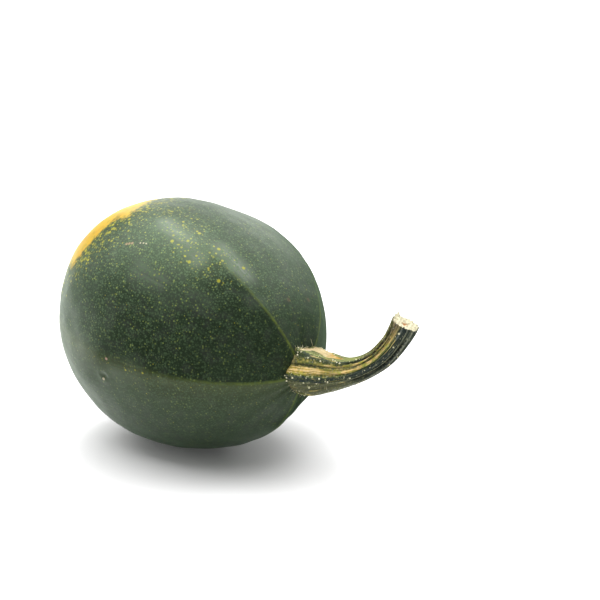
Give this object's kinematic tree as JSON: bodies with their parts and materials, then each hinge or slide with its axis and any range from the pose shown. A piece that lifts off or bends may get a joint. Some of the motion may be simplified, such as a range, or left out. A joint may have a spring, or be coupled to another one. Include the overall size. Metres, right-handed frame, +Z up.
{
  "type": "round zucchini",
  "caption": "Whole picked round zucchini lying on its side, a dark green near-round ridged fruit with its curved woody stem, resting on a small flat spot.",
  "frame": {"origin": "on the surface it lies on, in the flat rest spot under the middle of the fruit", "axes": "+Z up; +X along the fruit from the blossom end towards the stem, level; the ridged side that the picture shows faces -Y"},
  "size_m": [0.1559, 0.1002, 0.0987],
  "materials": {
    "fruit_skin": "dark green waxy squash skin with fine pale yellow-green specks, a dull sheen and a yellow ground spot",
    "stem_rind": "dry olive and dark green ribbed stem rind with cream and yellow fibre streaks, matt"
  },
  "bodies": {
    "root": {"fruit": "fruit_skin", "stem": "stem_rind"}
  },
  "joints": []
}
